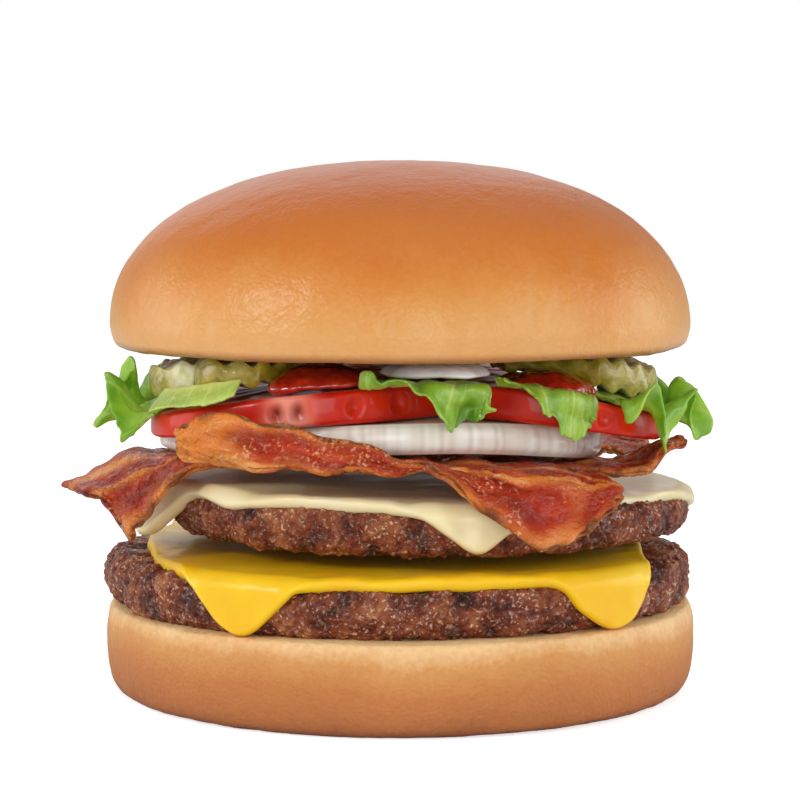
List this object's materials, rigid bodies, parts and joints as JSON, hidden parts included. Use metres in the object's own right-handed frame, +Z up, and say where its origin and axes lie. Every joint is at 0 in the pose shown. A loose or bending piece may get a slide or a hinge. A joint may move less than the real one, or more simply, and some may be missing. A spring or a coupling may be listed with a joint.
{
  "type": "bacon cheeseburger",
  "caption": "Bacon cheeseburger: a soft round bun stacked with beef patties, melted cheese, bacon, onion, tomato, pickles, lettuce and sauces.",
  "frame": {"origin": "the middle of the bun's flat underside, on the surface that the burger stands on", "axes": "+Z up, -Y towards the front shown in the picture, +X to the right as the front is seen"},
  "size_m": [0.1147, 0.1055, 0.0941],
  "materials": {
    "bun": "soft baked bread side, fine grain, no gloss",
    "bun_glazed": "thin golden brown crust with a soft sheen, paler towards its cut edge",
    "beef": "seared minced beef, craggy and wet with fat",
    "cheese_yellow": "melted yellow cheese, smooth, slightly translucent",
    "cheese_white": "melted cream-white cheese, smooth, slightly translucent",
    "onion": "raw onion, moist, with fine upright ribs",
    "tomato": "wet red tomato skin and flesh",
    "pickle": "wet pickled cucumber, olive green skin, pale middle",
    "ketchup": "glossy dark red sauce",
    "mayonnaise": "smooth off-white sauce",
    "bacon": "fried streaky bacon, red meat and orange fat, glossy with fat",
    "lettuce": "fresh crinkled leaf with pale veins and edges"
  },
  "bodies": {
    "root": {"bun_bottom": "bun", "bun_top": "bun_glazed", "patty_lower": "beef", "patty_upper": "beef", "cheese_yellow": "cheese_yellow", "cheese_white": "cheese_white", "onion": "onion", "tomato_left": "tomato", "tomato_right": "tomato", "tomato_back": "tomato", "pickle_left": "pickle", "pickle_front": "pickle", "pickle_right": "pickle", "pickle_back": "pickle", "ketchup_left": "ketchup", "ketchup_right": "ketchup", "mayonnaise": "mayonnaise", "bacon_through": "bacon", "bacon_front": "bacon", "bacon_back": "bacon", "lettuce_left": "lettuce", "lettuce_rib": "lettuce", "lettuce_front": "lettuce", "lettuce_front_right": "lettuce", "lettuce_right": "lettuce", "lettuce_back": "lettuce"}
  },
  "joints": []
}
